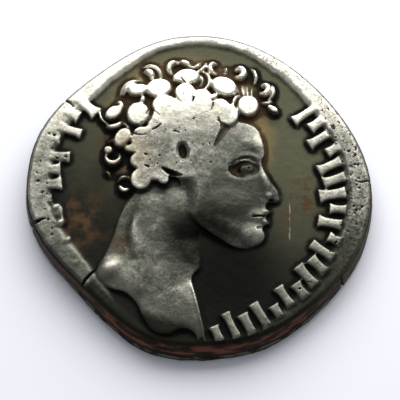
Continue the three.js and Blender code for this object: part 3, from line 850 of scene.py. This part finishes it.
def added(*terms):
    """The sum of terms, each a value and its weight."""
    total = 0.0
    for value, weight in terms:
        total = maths("ADD", maths("MULTIPLY", value, weight), total)
    return total


near, mid, far = measured("near"), measured("mid"), measured("far")

BLACK = (0.004, 0.004, 0.003, 1)
SLATE = (0.011, 0.011, 0.0075, 1)
OLIVE = (0.09, 0.089, 0.054, 1)
DULL = (0.055, 0.058, 0.046, 1)
BRIGHT = (0.82, 0.78, 0.65, 1)
GOLDEN = (0.2, 0.145, 0.06, 1)
TAN = (0.3, 0.23, 0.12, 1)
BROWN = (0.07, 0.04, 0.018, 1)
COPPER = (0.135, 0.047, 0.031, 1)

# The fields are olive to the north and east and blacken to the foot, a run that is partly toning and partly
# painted light and shade.
stands = maths("MAXIMUM", maths("SUBTRACT", up, OBVERSE_FIELD), maths("SUBTRACT", REVERSE_FIELD, up))
to_top_right = added((north, 1.0), (east, 0.6))
lit = between(added((north, 1.0), (east, 0.45), (mottle(1.6), 3.0)), -3.5, 7.0)
field = blend(lit, SLATE, OLIVE)
# Painted shadow: the field goes black under the jaw and the bust's front.
field = blend(round_about(1.6, -4.6, 0.8, 4.2), field, BLACK)
field = blend(both(round_about(-6.3, -1.6, 0.2, 2.6), between(mottle(0.9), 0.4, 0.7)), field, BROWN)
stain = both(between(mottle(0.6, shift=0.9), 0.5, 0.62), round_about(6.6, -1.0, 0.6, 3.6))
field = blend(stain, field, BROWN)
wander = maths("ABSOLUTE", added((east, 1.0), (mottle(1.5, 1.0), 0.3), (1.0, -4.84)))
obverse = between(up, 0.9, 1.1)
scratch = both(obverse, between(wander, 0.05, 0.01), between(north, -2.8, -2.5), between(north, -0.6, -0.9))
scratch = both(scratch, between(mottle(0.25, shift=7.0), 0.4, 0.55), 0.22)
field = blend(scratch, field, BRIGHT)
hair_round = both(obverse, round_about(-0.7, 2.9, 3.9, 5.1))
gilt = both(hair_round, between(to_top_right, -1.0, 4.0), between(mottle(0.7, shift=6.0), 0.3, 0.6))
field = blend(gilt, field, GOLDEN)
field = blend(both(hair_round, between(to_top_right, 1.5, -2.0)), field, BROWN)

# The metal is rubbed brightest at the top of the coin and on the high points, and its brightness towards the
# top is also a painted highlight. Each term below is a place or a measure, and how much brighter or darker it
# makes the metal. Black, brown, tan, olive and slate toning then go over it, with painted shadow and shade
# under the jaw, in the face's hollows and to the foot.
on_rim = round_about(0.0, 0.0, 8.3, 7.4)
polish_and_painted_light = added(
    # Painted highlight over real rubbing: the metal lightens towards the top of the coin, where the window's
    # reflection falls.
    (both(obverse, between(north, 2.3, 6.2)), 0.7),
    (obverse, -0.15),
    (1.0, 0.15),
    (round_about(-1.2, 2.0, 1.6, 3.6), 0.13),
    (between(north, -1.5, -4.5), 0.12),
    (round_about(0.0, 0.0, 7.0, 6.0), 0.1),
    (both(on_rim, between(added((north, 1.3), (east, -0.15)), -4.5, 0.5)), 0.14),
    (both(on_rim, between(north, 3.0, 6.0)), -0.4),
    (both(on_rim, between(east, -6.0, -8.0)), -0.07),
    (both(on_rim, round_about(-6.2, -5.2, 1.2, 4.2)), -0.22),
    (round_about(2.3, 0.2, 0.8, 2.6), -0.13),
    # Painted highlights on the nape ridge and the shoulder tip, both rubbed high points.
    (round_about(-3.4, -2.9, 0.3, 1.1), 0.14),
    (round_about(-4.8, -4.1, 0.3, 1.0), 0.08),
    # High points lighter and hollows darker: rubbing and toning, with painted shade in the hollows.
    (near, 1.0),
    (mid, 1.2),
    (far, 0.2),
    (maths("SUBTRACT", mottle(0.5, 5.0), 0.5), 0.5),
    (maths("SUBTRACT", mottle(0.12, 3.0, shift=0.7), 0.5), 0.35),
)
metal = blend(between(polish_and_painted_light, -0.05, 1.0), DULL, BRIGHT)
# Painted shade: the face's hollows go black, below the brow, round the eye and by the nose and mouth.
metal = blend(both(between(mid, 0.0, -0.075), round_about(1.5, -1.0, 3.4, 4.6), 0.9), metal, BLACK)
# Painted shadow: the throat under the jaw goes black.
metal = blend(both(round_about(0.1, -2.9, 1.0, 2.8), 0.93), metal, BLACK)
metal = blend(both(round_about(-4.1, -2.9, 0.2, 1.0), 0.6), metal, BROWN)
metal = blend(both(round_about(-4.4, 1.8, 0.8, 2.4), 0.38), metal, TAN)
metal = blend(both(round_about(-6.3, -4.3, 0.4, 1.9), 0.55), metal, OLIVE)
# Painted shade: the rim and legend grow duller towards the foot, away from the window.
outer_ring = maths("SUBTRACT", 1.0, round_about(0.0, 0.0, 5.8, 6.6))
metal = blend(both(outer_ring, between(north, -0.5, -4.5), 0.75), metal, DULL)
metal = blend(both(on_rim, round_about(6.2, -5.8, 2.5, 5.0), 0.6), metal, SLATE)
past_fold = between(added((east, -1.8), (north, 1.4), (1.0, -3.34)), 0.0, -0.5)
past_fold = both(past_fold, round_about(0.0, 0.0, 7.5, 6.9), between(east, 0.5, -1.0))
metal = blend(both(past_fold, 0.9), metal, SLATE)
grains = both(on_rim, between(mottle(0.13, 3.0, shift=11.0), 0.52, 0.6), between(east, -1.0, 5.0))
metal = blend(both(grains, 0.75), metal, SLATE)
speck = both(between(mottle(0.09, 2.0, shift=3.0), 0.62, 0.7), between(mottle(0.8, shift=4.0), 0.4, 0.6))
metal = blend(both(speck, 0.8), metal, BROWN)
colour = blend(between(stands, 0.03, 0.17), field, metal)
# Painted shade in the crevices round the relief, also dark toning there: black towards the lower left, brown
# towards the top right.
crevice = between(maths("ADD", near, maths("MULTIPLY", mottle(0.2), 0.03)), 0.0, -0.07)
crevice_toning_and_shade = blend(both(hair_round, between(to_top_right, 0.0, 4.0), 0.8), BLACK, BROWN)
colour = blend(crevice, colour, crevice_toning_and_shade)

# Bare copper shows in streaks on the flank.
flank_share = between(stands, -0.06, -0.2)
bare = both(between(up, 0.62, 0.8), between(mottle(0.3, 4.0, shift=2.0, level=0.25), 0.42, 0.62))
bare = both(bare, added((between(north, -2.0, -8.0), 0.75), (1.0, 0.2)))
skin = blend(both(mottle(0.5, 4.0, shift=8.0), between(north, -7.5, -2.0)), SLATE, DULL)
side_metal = blend(bare, blend(between(up, 0.32, 0.5), BLACK, skin), COPPER)
lip = both(between(up, 0.4, 0.52), between(up, 0.66, 0.56))
lip = both(lip, between(mottle(0.3, shift=5.0, level=0.4), 0.42, 0.55), 0.1)
side_metal = blend(lip, side_metal, BRIGHT)
colour = blend(flank_share, colour, side_metal)

links.new(colour, shader.inputs["Base Color"])
worn = both(between(stands, 0.03, 0.17), maths("SUBTRACT", 1.0, crevice))
links.new(added((worn, 0.7), (1.0, 0.2)), shader.inputs["Metallic"])
links.new(added((worn, -0.2), (1.0, 0.6)), shader.inputs["Roughness"])
shader.inputs["Specular IOR Level"].default_value = 0.06
bump = nodes.new("ShaderNodeBump")
bump.inputs["Strength"].default_value = 0.6
bump.inputs["Distance"].default_value = 0.012 * MM
links.new(maths("ADD", mottle(0.09, 3.0), mottle(0.3, 2.0, shift=1.1)), bump.inputs["Height"])
links.new(bump.outputs["Normal"], shader.inputs["Normal"])
coin.data.materials.clear()
coin.data.materials.append(silver_with_painted_light)

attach(coin, "root")
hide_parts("coin")

# ---- Studio ----
# A white table and one broad, low window beyond the top of the coin.

LOWEST_GRAIN = -0.016 * MM  # the coin's rough underside reaches a hair under nought
bpy.ops.mesh.primitive_plane_add(size=1.2, location=(0, 0, LOWEST_GRAIN))
table = bpy.context.object
table.name = "table"
paper = bpy.data.materials.new("white_paper")
paper.use_nodes = True
paper.node_tree.nodes["Principled BSDF"].inputs["Base Color"].default_value = (0.88, 0.885, 0.93, 1)
paper.node_tree.nodes["Principled BSDF"].inputs["Roughness"].default_value = 0.9
table.data.materials.append(paper)

WINDOW_AT = (0.016, 0.086, 0.068)
WINDOW_SIZE = (0.16, 0.1)
WINDOW_POWER = 0.235
ROOM_LIGHT = 0.36
bpy.ops.object.light_add(
    type="AREA",
    location=WINDOW_AT,
    rotation=(-math.atan2(WINDOW_AT[1], WINDOW_AT[2]), math.atan2(WINDOW_AT[0], WINDOW_AT[2]), 0),
)
window = bpy.context.object
window.data.shape = "RECTANGLE"
window.data.size, window.data.size_y = WINDOW_SIZE
window.data.energy = WINDOW_POWER

world = bpy.data.worlds.new("room")
bpy.context.scene.world = world
world.use_nodes = True
world.node_tree.nodes["Background"].inputs["Color"].default_value = (0.9, 0.93, 1.0, 1)
world.node_tree.nodes["Background"].inputs["Strength"].default_value = ROOM_LIGHT
bpy.context.scene.view_settings.view_transform = "Standard"
